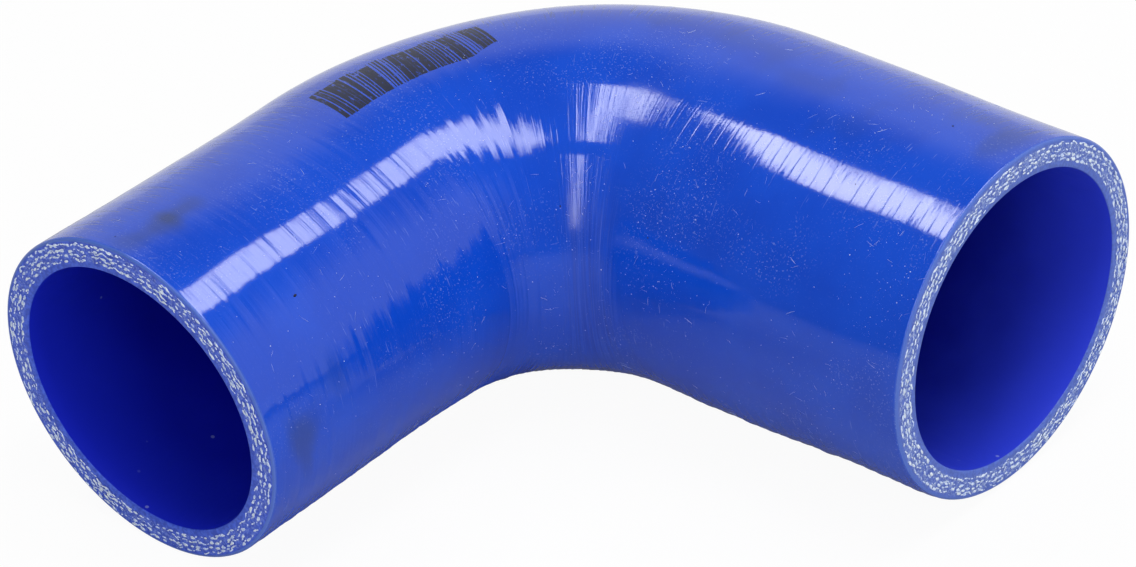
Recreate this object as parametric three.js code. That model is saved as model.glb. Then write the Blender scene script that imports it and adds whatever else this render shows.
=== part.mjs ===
// A moulded silicone elbow hose: a right-angled reducer that joins two pipes of different size.
// Millimetres, +Z up. The hose lies on its side, its large end faces +X and its small end -Y.
import * as THREE from "three";
import { mergeVertices } from "three/addons/utils/BufferGeometryUtils.js";

// Sizes

const BORE_LARGE = 57; // diameter of the pipe that the large end takes
const BORE_SMALL = 51; // diameter of the pipe that the small end takes
const WALL = 5.5; // cover, fabric plies and liner, bonded into one wall
const LEG_LARGE = 107; // from the corner of the two centrelines to the large cut face
const LEG_SMALL = 107.4; // the same, to the small cut face
const BEND_RADIUS = 48; // of the centreline
const BEND_ANGLE = THREE.MathUtils.degToRad(90);
const TAPER_LEAD = 24; // the bores change over the bend and this much of the large leg
const TAPER_TAIL = 23; // and this much of the small leg
const PLY_BUILD_UP = 1; // extra wall over the bend, where the wound plies overlap
const EDGE_TRIM = 0.5; // bevel left by the knife around the outside of each cut face

// The soft tube has settled out of round: it is this much wider than its mean radius in the
// plane of the bend and as much lower. Towards each end the wide direction leans out of it.
const SETTLE = 1.1;
const LEAN_LARGE = THREE.MathUtils.degToRad(9);
const LEAN_SMALL = THREE.MathUtils.degToRad(-16);

// Fineness of the mesh

const FACETS_ROUND = 72;
const STEPS_BEND = 20;
const STEPS_LEG = 9;

// Lengths along the centreline, counted from the large cut face

const TANGENT = BEND_RADIUS * Math.tan(BEND_ANGLE / 2);
const BEND_START = LEG_LARGE - TANGENT;
const BEND_END = BEND_START + BEND_RADIUS * BEND_ANGLE;
const LENGTH = BEND_END + LEG_SMALL - TANGENT;
const TAPER_START = BEND_START - TAPER_LEAD;
const TAPER_END = BEND_END + TAPER_TAIL;

// Point, direction of travel and direction towards the inside of the bend at a length.
// The corner of the two centrelines is the origin and the large leg lies on +X.
function centreline(length) {
  const turned = THREE.MathUtils.clamp((length - BEND_START) / BEND_RADIUS, 0, BEND_ANGLE);
  const along = new THREE.Vector3(-Math.cos(turned), -Math.sin(turned), 0);
  const inward = new THREE.Vector3(Math.sin(turned), -Math.cos(turned), 0);
  const centre = new THREE.Vector3(TANGENT, -BEND_RADIUS, 0);
  const point = centre.addScaledVector(inward, -BEND_RADIUS);
  const straight = length - THREE.MathUtils.clamp(length, BEND_START, BEND_END);
  return { point: point.addScaledVector(along, straight), inward };
}

function boreRadius(length) {
  const share = THREE.MathUtils.smoothstep(length, TAPER_START, TAPER_END);
  return THREE.MathUtils.lerp(BORE_LARGE, BORE_SMALL, share) / 2;
}

function outerRadius(length) {
  const share = THREE.MathUtils.clamp(length / TAPER_END, 0, 1);
  return boreRadius(length) + WALL + PLY_BUILD_UP * Math.sin(Math.PI * share) ** 2;
}

// How far the settled tube moves out from a round one, at an angle from the inside of the bend.
function settled(length, angle) {
  const middle = (BEND_START + BEND_END) / 2;
  const before = THREE.MathUtils.clamp(1 - length / middle, 0, 1);
  const after = THREE.MathUtils.clamp((length - middle) / (LENGTH - middle), 0, 1);
  const lean = LEAN_LARGE * before + LEAN_SMALL * after;
  return SETTLE * Math.cos(2 * (angle - lean));
}

// Lengths at which the wall gets a ring of points: close together in the bend.
function rings() {
  const steps = (from, to, count) =>
    Array.from({ length: count }, (_, i) => THREE.MathUtils.lerp(from, to, i / count));
  return [
    ...steps(0, BEND_START, STEPS_LEG),
    ...steps(BEND_START, BEND_END, STEPS_BEND),
    ...steps(BEND_END, LENGTH, STEPS_LEG),
    LENGTH,
  ];
}

// The wall's section as it would be on a straight hose: radius across, length along.
function wallSection() {
  const outside = rings().filter((at) => at > EDGE_TRIM && at < LENGTH - EDGE_TRIM);
  const profile = [
    ...rings().map((at) => [boreRadius(at), at]),
    [outerRadius(LENGTH) - EDGE_TRIM, LENGTH],
    [outerRadius(LENGTH - EDGE_TRIM), LENGTH - EDGE_TRIM],
    ...outside.reverse().map((at) => [outerRadius(at), at]),
    [outerRadius(EDGE_TRIM), EDGE_TRIM],
    [outerRadius(0) - EDGE_TRIM, 0],
    [boreRadius(0), 0],
  ];
  return profile.map(([radius, at]) => new THREE.Vector2(radius, at));
}

// The straight hose is turned from its section, then bent and settled point by point.
function hoseGeometry() {
  const geometry = new THREE.LatheGeometry(wallSection(), FACETS_ROUND);
  const position = geometry.getAttribute("position");
  for (let i = 0; i < position.count; i += 1) {
    const angle = Math.atan2(position.getZ(i), position.getX(i));
    const at = position.getY(i);
    const radius = Math.hypot(position.getX(i), position.getZ(i)) + settled(at, angle);
    const { point, inward } = centreline(at);
    point.addScaledVector(inward, radius * Math.cos(angle));
    point.z += radius * Math.sin(angle);
    position.setXYZ(i, point.x, point.y, point.z);
  }
  geometry.deleteAttribute("normal");
  geometry.deleteAttribute("uv");
  const closed = mergeVertices(geometry, 1e-3);
  closed.computeVertexNormals();
  return closed;
}

// The turn about the large leg at which the thinner small leg comes down to the same surface.
function restTilt() {
  const halfHeight = (at) => outerRadius(at) + settled(at, -Math.PI / 2);
  const large = Math.max(...rings().filter((at) => at <= BEND_END).map(halfHeight));
  const small = halfHeight(LENGTH);
  return Math.asin(large / Math.hypot(LEG_SMALL, small)) - Math.atan2(small, LEG_SMALL);
}

function elbowHose() {
  const silicone = new THREE.MeshStandardMaterial({ color: 0x1c3fc4, roughness: 0.28, metalness: 0 });
  const hose = new THREE.Mesh(hoseGeometry(), silicone);
  hose.name = "elbow_hose";
  hose.rotation.x = restTilt();
  return hose;
}

// The origin goes under the middle of the hose, on the surface that it lies on.
function standOnOrigin(object) {
  const group = new THREE.Group();
  group.add(object);
  const box = new THREE.Box3().setFromObject(group, true);
  const middle = box.getCenter(new THREE.Vector3());
  group.position.set(-middle.x, -middle.y, -box.min.z);
  return group;
}

export default standOnOrigin(elbowHose());
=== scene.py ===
# %% [markdown]
# A reducing elbow hose in blue silicone, lying on its side in a small white studio. The real
# hose is one cured piece: a liner, plies of polyester cloth and a cover, wound on a bent
# mandrel under a tight tape and baked. The tape leaves its turns printed all along the cover.
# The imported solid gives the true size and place. This lesson builds a finer wall over it.

# %% Load the frame and keep the solid's box
import math

import bpy
import numpy as np
from mathutils import Matrix, Vector


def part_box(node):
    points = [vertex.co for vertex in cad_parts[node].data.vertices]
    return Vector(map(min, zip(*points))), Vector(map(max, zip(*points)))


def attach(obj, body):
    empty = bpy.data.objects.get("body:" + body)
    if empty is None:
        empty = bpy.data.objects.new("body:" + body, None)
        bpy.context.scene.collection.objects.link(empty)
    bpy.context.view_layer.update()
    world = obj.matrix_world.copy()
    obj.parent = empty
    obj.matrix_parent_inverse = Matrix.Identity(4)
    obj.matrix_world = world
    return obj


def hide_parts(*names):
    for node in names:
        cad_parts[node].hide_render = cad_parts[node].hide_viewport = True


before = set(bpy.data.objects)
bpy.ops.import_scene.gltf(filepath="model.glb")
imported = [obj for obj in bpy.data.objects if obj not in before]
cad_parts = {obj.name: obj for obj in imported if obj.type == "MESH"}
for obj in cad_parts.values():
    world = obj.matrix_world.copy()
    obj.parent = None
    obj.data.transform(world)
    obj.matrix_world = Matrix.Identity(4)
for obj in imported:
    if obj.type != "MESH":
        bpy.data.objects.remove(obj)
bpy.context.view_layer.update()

MM = 0.001
HOSE_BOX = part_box("elbow_hose")
print("solid box in mm", [[round(c / MM, 2) for c in corner] for corner in HOSE_BOX])


def put_in_scene(name, data):
    thing = bpy.data.objects.new(name, data)
    bpy.context.scene.collection.objects.link(thing)
    return thing


# %% [markdown]
# The camera comes first, because everything that follows is judged through it. A long lens
# from three quarters of a metre gives the flat perspective of a catalogue picture. It looks
# down at about 32 degrees onto the inside of the bend, and is rolled by 2 degrees.

# %% Camera
VIEW_AZIMUTH = math.radians(41.1)
VIEW_ELEVATION = math.radians(31.84)
VIEW_ROLL = math.radians(1.94)
VIEW_DISTANCE = 0.7384
VIEW_AIM = Vector((0.0006, -0.0017, 0.0335))
LENS_MM = 133.1
SENSOR_MM = 36.0


def camera_axes(azimuth, elevation, roll):
    back = Vector((
        math.sin(azimuth) * math.cos(elevation),
        -math.cos(azimuth) * math.cos(elevation),
        math.sin(elevation),
    ))
    level = Vector((math.cos(azimuth), math.sin(azimuth), 0))
    upright = back.cross(level)
    right = level * math.cos(roll) - upright * math.sin(roll)
    return right, back.cross(right), back


def make_camera():
    data = bpy.data.cameras.new("catalogue_camera")
    data.sensor_fit = "HORIZONTAL"
    data.sensor_width = SENSOR_MM
    data.lens = LENS_MM
    data.clip_start = 0.01
    camera = put_in_scene("catalogue_camera", data)
    axes = camera_axes(VIEW_AZIMUTH, VIEW_ELEVATION, VIEW_ROLL)
    camera.matrix_world = Matrix(axes).transposed().to_4x4()
    camera.location = VIEW_AIM + axes[2] * VIEW_DISTANCE
    bpy.context.scene.camera = camera


make_camera()
print("camera looks at", [round(c, 4) for c in VIEW_AIM], "from", VIEW_DISTANCE, "m")

# %% [markdown]
# The hose's form is a rule: a straight leg, a quarter turn and a second straight leg, with a
# bore that shrinks through the turn and a wall that is a little thicker there. These are the
# sizes of the solid, and each later step asks for a point by its length along the centreline
# and its angle from the inside of the bend.

# %% Sizes of the hose
BORE_LARGE = 57 * MM
BORE_SMALL = 51 * MM
WALL = 5.5 * MM
LEG_LARGE = 107 * MM
LEG_SMALL = 107.4 * MM
BEND_RADIUS = 48 * MM
BEND_ANGLE = math.radians(90)
TAPER_LEAD = 24 * MM
TAPER_TAIL = 23 * MM
PLY_BUILD_UP = 1 * MM
SETTLE = 1.1 * MM
LEAN_LARGE = math.radians(9)
LEAN_SMALL = math.radians(-16)
EDGE_ROUND = 0.6 * MM

TANGENT = BEND_RADIUS * math.tan(BEND_ANGLE / 2)
BEND_START = LEG_LARGE - TANGENT
BEND_END = BEND_START + BEND_RADIUS * BEND_ANGLE
LENGTH = BEND_END + LEG_SMALL - TANGENT
TAPER_START = BEND_START - TAPER_LEAD
TAPER_END = BEND_END + TAPER_TAIL
print("length of the centreline in mm", round(LENGTH / MM, 1))


# %% The form as a rule
def smooth_share(value, low, high):
    share = np.clip((value - low) / (high - low), 0, 1)
    return share * share * (3 - 2 * share)


def bore_radius(at):
    share = smooth_share(at, TAPER_START, TAPER_END)
    return (BORE_LARGE * (1 - share) + BORE_SMALL * share) / 2


def outer_radius(at):
    share = np.clip(at / TAPER_END, 0, 1)
    return bore_radius(at) + WALL + PLY_BUILD_UP * np.sin(math.pi * share) ** 2


def settled(at, angle):
    """How far the resting tube has moved out from a round one."""
    middle = (BEND_START + BEND_END) / 2
    before = np.clip(1 - at / middle, 0, 1)
    after = np.clip((at - middle) / (LENGTH - middle), 0, 1)
    lean = LEAN_LARGE * before + LEAN_SMALL * after
    return SETTLE * np.cos(2 * (angle - lean))


def rest_tilt():
    """The turn about the large leg that brings the thinner leg down to the surface."""
    stations = np.linspace(0, BEND_END, 200)
    large = np.max(outer_radius(stations) + settled(stations, -math.pi / 2))
    small = outer_radius(LENGTH) + settled(LENGTH, -math.pi / 2)
    return math.asin(large / math.hypot(LEG_SMALL, small)) - math.atan2(small, LEG_SMALL)


def bent_points(at, angle, radius):
    """Points of the bent hose, before it is laid down: shape (..., 3)."""
    at, angle, radius = np.broadcast_arrays(at, angle, radius)
    turned = np.clip((at - BEND_START) / BEND_RADIUS, 0, BEND_ANGLE)
    straight = at - np.clip(at, BEND_START, BEND_END)
    across = radius * np.cos(angle) - BEND_RADIUS
    x = TANGENT + np.sin(turned) * across - np.cos(turned) * straight
    y = -BEND_RADIUS - np.cos(turned) * across - np.sin(turned) * straight
    return np.stack([x, y, radius * np.sin(angle)], axis=-1)


TILT = rest_tilt()
LAY_DOWN = np.array(Matrix.Rotation(TILT, 3, "X"))


def find_shift():
    """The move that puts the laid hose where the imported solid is."""
    at, angle = np.meshgrid(np.linspace(0, LENGTH, 300), np.linspace(0, 2 * math.pi, 361))
    laid = bent_points(at, angle, outer_radius(at) + settled(at, angle)) @ LAY_DOWN.T
    low, high = laid.min(axis=(0, 1)), laid.max(axis=(0, 1))
    box_low, box_high = np.array(HOSE_BOX[0]), np.array(HOSE_BOX[1])
    return (box_low + box_high - low - high) / 2


SHIFT = find_shift()


def hose_points(at, angle, radius):
    return bent_points(at, angle, radius) @ LAY_DOWN.T + SHIFT


print("rest tilt in degrees", round(math.degrees(TILT), 2), "shift in mm", np.round(SHIFT / MM, 2))

# %% [markdown]
# The cover isn't smooth. Of each turn of the tape 2 to 3 mm show, with a fine groove where the
# next one begins. A groove is only a few hundredths of a millimetre deep, but it breaks every
# reflection that crosses it, so it is real relief in the mesh. The rings of points are placed
# where the grooves are, so that a thin line needs few points.

# %% Turns of the tape
FIRST_TURN = 1.8 * MM
LAST_TURN_CLEAR = 2.2 * MM
TURN_LEAST = 1.8 * MM
TURN_MOST = 3.4 * MM
OVERLAP_LEAST, OVERLAP_SPREAD = 0.25, 0.50
LATE_BEND = (BEND_START + 30 * MM, BEND_END)

draw = np.random.default_rng(51)


def tape_turns():
    """Lengths at which a turn of the tape ends. Their overlap is uneven on the small leg."""
    places = []
    at = FIRST_TURN
    while at < LENGTH - LAST_TURN_CLEAR:
        places.append(at)
        uneven = smooth_share(at, *LATE_BEND)
        overlap = uneven * (OVERLAP_LEAST + OVERLAP_SPREAD * draw.uniform())
        at += draw.uniform(TURN_LEAST, TURN_MOST) * (1 - overlap)
    return np.array(places)


TURNS = tape_turns()
TURN_ENDS = np.concatenate([[EDGE_ROUND], TURNS, [LENGTH - EDGE_ROUND]])
print(len(TURNS), "turns of tape")

# %% Rings of points
COLUMNS = 144
RING_SPACING = 0.55 * MM
LEAST_RINGS = 3
GROOVE_HALF = 0.085 * MM
SHOULDER = 0.17 * MM
GROOVES_SHARP_TO = BEND_START + 20 * MM


def ring_places():
    """Lengths of the rings: in each groove, beside it, and evenly spaced over each turn."""
    places = []
    for start, end in zip(TURN_ENDS[:-1], TURN_ENDS[1:]):
        count = max(LEAST_RINGS, round((end - start) / RING_SPACING))
        sharp = start < GROOVES_SHARP_TO
        edge = SHOULDER if sharp else GROOVE_HALF
        places += [start, *np.linspace(start + edge, end - edge, count)]
        if sharp:
            places += [start + GROOVE_HALF, end - GROOVE_HALF]
    return np.sort(places + [TURN_ENDS[-1]])


RINGS = ring_places()
RING_AT = RINGS[:, None]
RING_TURN = np.clip(np.searchsorted(TURN_ENDS, RINGS, side="right") - 1, 0, len(TURNS))
TURN_SHARE = ((RINGS - TURN_ENDS[RING_TURN]) / np.diff(TURN_ENDS)[RING_TURN])[:, None]
IS_GROOVE = np.isin(RINGS, TURNS)
ANGLES = np.arange(COLUMNS) * 2 * math.pi / COLUMNS
print(len(RINGS), "rings of", COLUMNS, "points")

# %% [markdown]
# The relief is a sum of parts, all drawn from one seed. What the tape pressed is made of waves
# round the hose, with new strengths for each turn, because a hand never lays two turns the same
# way. Each part has a strength for the large leg, one for the bend and one for the small leg.

# %% Helpers for the relief
INTO_BEND = (BEND_START - 4 * MM, BEND_START + 8 * MM)
OUT_OF_BEND = (BEND_START + 44 * MM, BEND_START + 58 * MM)


def by_zone(at, on_large_leg, on_bend, on_small_leg):
    """A value for each of the three zones, with soft changes between them."""
    value = on_large_leg + (on_bend - on_large_leg) * smooth_share(at, *INTO_BEND)
    return value + (on_small_leg - on_bend) * smooth_share(at, *OUT_OF_BEND)


def turned_from(angle, place):
    """The angle from a place round the hose, between minus and plus half a turn."""
    return (angle - place + math.pi) % (2 * math.pi) - math.pi


def near_angle(angle, middle, reach):
    """1 at an angle round the hose and 0 well past its reach."""
    return np.exp(-(turned_from(angle, middle) / reach) ** 4)


def unit(field):
    return field / np.std(field)


def report_height(name, field):
    print(name, "in mm from", round(field.min() / MM, 4), "to", round(field.max() / MM, 4))


# %% Waves round the hose
def turn_waves(count, highest, falloff, memory):
    """Random waves for each turn, where a turn partly repeats the one before it."""
    parts = draw.normal(size=(2, count, highest))
    fresh = math.sqrt(1 - memory**2)
    for k in range(1, count):
        parts[:, k] = memory * parts[:, k - 1] + fresh * parts[:, k]
    sizes = 1 / np.arange(1, highest + 1) ** falloff
    strengths, phases = np.hypot(*parts) * sizes, np.arctan2(parts[1], parts[0])
    turned = np.arange(1, highest + 1)[None, :, None] * ANGLES[None, None, :]
    return unit(np.einsum("km,kma->ka", strengths, np.cos(turned + phases[:, :, None])))


def slow_swell(at, angle, pitch, highest, count):
    """Long soft undulations of the hand-laid plies, as a sum of slanting waves."""
    total = np.zeros(np.broadcast(at, angle).shape)
    for _ in range(count):
        wave = draw.integers(0, highest + 1)
        length = pitch * draw.uniform(0.7, 1.5) * draw.choice([-1, 1])
        total += np.cos(2 * math.pi * at / length + wave * angle + draw.uniform(0, 2 * math.pi))
    return unit(total)


# %% Fine unevenness
# heights, slopes and depths for the large leg, the bend and the small leg
FINE_HEIGHTS = (0.0008 * MM, 0.0008 * MM, 0.0040 * MM)
FINE_CHANGE = 0.5


def fine_unevenness():
    steps = np.arange(0, LENGTH, RING_SPACING)
    fine = np.interp(RINGS, steps, draw.normal(size=len(steps)))[:, None]
    fine = fine * (1 + FINE_CHANGE * slow_swell(RING_AT, ANGLES, 40 * MM, 3, 6))
    return by_zone(RING_AT, *FINE_HEIGHTS) * fine


FINE = fine_unevenness()
report_height("fine unevenness", FINE)

# %% Turns that lie askew
TURN_SLOPES = (0.0040, 0.0030, 0.030)
HEIGHT_KEPT = 0.4
END_CALMER = 0.28
CALMER_FROM_TO = (120 * MM, 142 * MM)
BACK_SMOOTHER = 0.75
BACK_FROM_TO = (math.radians(70), math.radians(92))


def shingles():
    """Heights of the cover when each turn lies a little askew along the hose, as shingles do."""
    middles = (TURN_ENDS[:-1] + TURN_ENDS[1:]) / 2
    slopes = turn_waves(len(middles), 6, 0.5, 0.0)
    calmer = 1 - END_CALMER * smooth_share(middles, *CALMER_FROM_TO)
    slopes *= (by_zone(middles, *TURN_SLOPES) * calmer)[:, None]
    slopes *= 1 - BACK_SMOOTHER * smooth_share(turned_from(ANGLES, 0), *BACK_FROM_TO)
    heights = [np.zeros(COLUMNS)]
    for slope, width in zip(slopes, np.diff(TURN_ENDS)):
        heights.append(HEIGHT_KEPT * heights[-1] + slope * width)
    heights = np.array(heights)
    return heights[RING_TURN] * (1 - TURN_SHARE) + heights[RING_TURN + 1] * TURN_SHARE


SHINGLES = shingles()
report_height("turns that lie askew", SHINGLES)

# %% Grooves
GROOVE_DEPTHS = (0.027 * MM, 0.004 * MM, 0.002 * MM)
GROOVE_UNEVEN = (0.6, 1.2)
GROOVE_BREAKS = (0.25, 1.0, 1.0)
GROOVE_MOST = 1.5
GROOVE_ELSEWHERE = 0.08
GROOVES_MIDDLE = math.radians(46)
GROOVES_REACH = math.radians(18)


def groove_depths():
    """Deep and regular on the upper inside of the large leg, faint elsewhere, broken round it."""
    count = len(TURNS) + 1
    depth = by_zone(RINGS, *GROOVE_DEPTHS) * draw.uniform(*GROOVE_UNEVEN, size=count)[RING_TURN]
    breaks = by_zone(RINGS, *GROOVE_BREAKS)[:, None] * turn_waves(count, 6, 0.3, 0.3)[RING_TURN]
    whole = (1 + breaks).clip(0.0, GROOVE_MOST)
    pressed = near_angle(ANGLES, GROOVES_MIDDLE, GROOVES_REACH)
    pressed = GROOVE_ELSEWHERE + (1 - GROOVE_ELSEWHERE) * pressed
    return depth[:, None] * whole * IS_GROOVE[:, None] * pressed


GROOVES = groove_depths()
report_height("grooves", GROOVES)

# %% Lips
LIP_HEIGHTS = (0.40 * MM, 0.10 * MM, 0.26 * MM)
LIPS_UNEVEN = (0.3, 1.3)
LIPS_MIDDLE = math.radians(-56)
LIPS_REACH = math.radians(22)


def lips():
    """On the lower inside the tape was pulled tight, and left a small lip at each turn."""
    pulled = near_angle(ANGLES, LIPS_MIDDLE, LIPS_REACH)
    uneven = draw.uniform(*LIPS_UNEVEN, size=len(TURNS) + 1)[RING_TURN][:, None]
    return by_zone(RINGS, *LIP_HEIGHTS)[:, None] * pulled * uneven * (TURN_SHARE - 0.5)


LIPS = lips()
report_height("lips", LIPS)

# %% [markdown]
# Three broader forms come from the cloth under the cover. The hand-laid plies swell and sink
# over a few centimetres. On the inside of the bend the cloth had to gather, and left creases.
# Where the large leg runs into the bend, its upper inside has sunk by a third of a millimetre.
# All relief fades out at the ends, where the knife went through.

# %% Swell, creases and hollow
SWELL_HEIGHT = 0.045 * MM
SWELL_FADE = 12 * MM
CREASES = 46
CREASE_DEPTH = 0.045 * MM
CREASES_FROM_TO = (BEND_START - 4 * MM, BEND_END + 12 * MM)
HOLLOW_DEPTH = 0.34 * MM
HOLLOW_FROM_TO = (BEND_START - MM, BEND_START + 16 * MM)
HOLLOW_END = BEND_START + 58 * MM
HOLLOW_MIDDLE = math.radians(52)
HOLLOW_REACH = 0.75


def creases(at, angle):
    """Gathers in the cloth on the inside of the bend, each with a place and a form by chance."""
    total = np.zeros(np.broadcast(at, angle).shape)
    for _ in range(CREASES):
        place = draw.uniform(*CREASES_FROM_TO)
        width = draw.uniform(0.4, 1.1) * MM
        middle = draw.uniform(-0.9, 0.35)
        reach = draw.uniform(0.2, 0.5)
        skew = draw.uniform(-3, 3) * MM
        along = (at - place - skew * (angle - middle)) / width
        total += draw.uniform(0.2, 1) * np.exp(-along**2 - ((angle - middle) / reach) ** 2)
    return total


def hollow(at, angle):
    down = smooth_share(at, *HOLLOW_FROM_TO)
    up = smooth_share(at, HOLLOW_FROM_TO[1], HOLLOW_END)
    return (down - up) * near_angle(angle, HOLLOW_MIDDLE, HOLLOW_REACH)


TO_END = np.minimum(RING_AT, LENGTH - RING_AT)
SWELL = slow_swell(RING_AT, ANGLES, 45 * MM, 4, 14)
SWELL = SWELL_HEIGHT * SWELL * smooth_share(TO_END, 0, SWELL_FADE)
SUNK = CREASE_DEPTH * creases(RING_AT, turned_from(ANGLES, 0))
SUNK += HOLLOW_DEPTH * hollow(RING_AT, ANGLES)
report_height("swell", SWELL)
report_height("creases and hollow", SUNK)

# %% The whole relief
RELIEF_FADE = 2.2 * MM
RELIEF = SHINGLES + FINE - GROOVES + LIPS + SWELL - SUNK
RELIEF *= smooth_share(TO_END, 0, RELIEF_FADE)
report_height("relief", RELIEF)

# %% [markdown]
# The wall is one closed skin: out along the cover, round the trimmed edge, across the cut
# face, back through the bore and across the other face. It is made as a grid whose rows are
# rings of the hose and whose last row meets the first. Each face keeps which finish it has,
# and a map that unrolls the hose holds the angle across and the length up.

# %% The wall as one closed grid
EDGE_STEPS = 6
FACE_STEPS = 8
BORE_EDGE_ROUND = 0.25 * MM
BORE_EDGE_STEPS = 3
BORE_RINGS = 56
COVER, CUT, LINER = 0, 1, 2


def ring_row(at, radius, finish):
    """One ring of the skin: its lengths, its settled radii, and the finish it has."""
    return np.full(COLUMNS, at), radius + settled(at, ANGLES), finish


def inset_from_end(at_large, inset):
    return inset if at_large else LENGTH - inset


def cover_rows():
    radii = outer_radius(RING_AT) + settled(RING_AT, ANGLES) + RELIEF
    return [(np.full(COLUMNS, at), radius, COVER) for at, radius in zip(RINGS, radii)]


def edge_rows(at_large):
    """The rounded outer edge of a cut face, from the cover to the face."""
    rows = []
    for step in range(1, EDGE_STEPS + 1):
        turn = step / EDGE_STEPS * math.pi / 2
        at = inset_from_end(at_large, EDGE_ROUND * (1 - math.sin(turn)))
        radius = outer_radius(at) - EDGE_ROUND * (1 - math.cos(turn))
        rows.append(ring_row(at, radius, COVER))
    return rows


def face_rows(at_large):
    """The flat cut face, from the rounded edge to the bore."""
    at = inset_from_end(at_large, 0.0)
    outside = outer_radius(at) - EDGE_ROUND
    inside = bore_radius(at) + BORE_EDGE_ROUND
    shares = [step / FACE_STEPS for step in range(1, FACE_STEPS + 1)]
    return [ring_row(at, outside * (1 - share) + inside * share, CUT) for share in shares]


def bore_edge_rows(at_large):
    """The small rounding where a cut face turns into the bore."""
    rows = []
    for step in range(1, BORE_EDGE_STEPS + 1):
        turn = step / BORE_EDGE_STEPS * math.pi / 2
        at = inset_from_end(at_large, BORE_EDGE_ROUND * (1 - math.cos(turn)))
        radius = bore_radius(at) + BORE_EDGE_ROUND * (1 - math.sin(turn))
        rows.append(ring_row(at, radius, CUT))
    return rows


def bore_rows():
    stations = np.linspace(LENGTH, 0, BORE_RINGS + 1)[1:-1]
    return [ring_row(at, bore_radius(at), LINER) for at in stations]


# %% Rings joined to a mesh
def wall_rows():
    """All rings of the closed skin. Each names the finish of the band that leads up to it."""
    back_edge = (edge_rows(True) + face_rows(True) + bore_edge_rows(True))[::-1]
    finishes = [LINER] + [finish for _, _, finish in back_edge[:-1]]
    back_edge = [(at, radius, finish) for (at, radius, _), finish in zip(back_edge, finishes)]
    front = cover_rows() + edge_rows(False) + face_rows(False) + bore_edge_rows(False)
    return front + bore_rows() + back_edge


def grid_faces(row_count):
    """Quads between each row and the next, the last row meeting the first."""
    row = np.arange(row_count)[:, None]
    column = np.arange(COLUMNS)[None, :]
    next_row, next_column = (row + 1) % row_count, (column + 1) % COLUMNS
    corners = (row * COLUMNS + column, row * COLUMNS + next_column,
               next_row * COLUMNS + next_column, next_row * COLUMNS + column)
    return np.stack([c.reshape(-1) for c in np.broadcast_arrays(*corners)], axis=-1)


def unroll(mesh, at):
    """A map with the share of a turn across and the share of the length up."""
    across = np.tile(np.arange(COLUMNS), len(at))
    left, right = across / COLUMNS, (across + 1) / COLUMNS
    length_of = at[:, 0] / LENGTH
    low = np.repeat(length_of, COLUMNS)
    high = np.repeat(np.roll(length_of, -1), COLUMNS)
    uv = np.stack([left, low, right, low, right, high, left, high], axis=-1)
    mesh.uv_layers.new(name="unrolled").data.foreach_set("uv", uv.reshape(-1))


def build_wall():
    at, radius, finish = (np.array(column) for column in zip(*wall_rows()))
    points = hose_points(at, ANGLES[None, :], radius).reshape(-1, 3)
    faces = grid_faces(len(at))
    mesh = bpy.data.meshes.new("hose_wall")
    mesh.from_pydata(points.tolist(), [], faces.tolist())
    next_finish = np.repeat(np.roll(finish, -1), COLUMNS)
    mesh.polygons.foreach_set("material_index", next_finish.astype(np.int32))
    mesh.polygons.foreach_set("use_smooth", np.ones(len(faces), bool))
    unroll(mesh, at)
    return mesh, at, radius


wall_mesh, WALL_AT, WALL_RADIUS = build_wall()
hose_wall = put_in_scene("hose_wall", wall_mesh)
print("wall has", len(wall_mesh.polygons) * 2, "triangles")

# %% [markdown]
# A material can ask a mesh for more than its place. Three numbers are kept at every point of
# the wall: how far it lies through the wall, for the layers on the cut faces, how soiled it is,
# for the dark thumb marks, and how much lint it holds, for the dust that clings to silicone.

# %% Layers, soil and lint as numbers on the wall
SMUDGES = (
    # length in mm, angle in degrees, half length in mm, half width in mm, strength
    (184, 90.5, 4.2, 2.8, 0.52),
    (178, 91.5, 4.2, 2.2, 0.46),
    (190, 91, 3.4, 2.6, 0.32),
    (186, 3, 3.5, 4.2, 0.52),
    (176, 14, 3.0, 4.0, 0.22),
    (5, 97, 3.5, 6.0, 0.35),
    (12, 104, 4.0, 3.0, 0.25),
    (44, 88, 9.0, 3.0, 0.16),
    (60, 97, 10.0, 3.0, 0.20),
    (76, 101, 6.0, 2.6, 0.16),
    (30, 76, 5.0, 3.0, 0.14),
    (120, 160, 9.0, 6.0, 0.25),
    (64, 185, 8.0, 5.0, 0.20),
    (150, 230, 9.0, 6.0, 0.25),
    (20, 260, 7.0, 7.0, 0.25),
)

SMUDGE_RAGGED = 0.35
LINT_UPWARD = math.radians(50)
LINT_SMALL_LEG = 0.35
LINT_BELOW = 0.12
LINT_PATCHY = 0.9
LINT_CLEAR_RINGS = 3


def soil_field(at, angle, radius):
    total = np.zeros(at.shape)
    ragged = 1 + SMUDGE_RAGGED * slow_swell(at, angle, 9 * MM, 9, 10)
    for place, turn, half_length, half_width, strength in SMUDGES:
        along = (at - place * MM) / (half_length * MM)
        across = turned_from(angle, math.radians(turn)) * radius / (half_width * MM)
        total += strength * np.exp(-((along**2 + across**2) * ragged.clip(0.3, 2)) ** 1.5)
    return total.clip(0, 1)


def lint_field(at, angle):
    """Most lint lies on the front of the large leg and in the bend, least underneath."""
    upward = 0.5 + 0.5 * np.cos(turned_from(angle, LINT_UPWARD))
    thick = LINT_SMALL_LEG + (1 - LINT_SMALL_LEG) * (1 - smooth_share(at, *LATE_BEND))
    patchy = np.exp(LINT_PATCHY * slow_swell(at, angle, 30 * MM, 6, 12))
    return (LINT_BELOW + upward**1.5) * thick * patchy.clip(0.1, 4)


def keep_on_points(mesh, name, values):
    layer = mesh.attributes.new(name, "FLOAT", "POINT")
    layer.data.foreach_set("value", np.ascontiguousarray(values, dtype=np.float32).reshape(-1))


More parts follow.
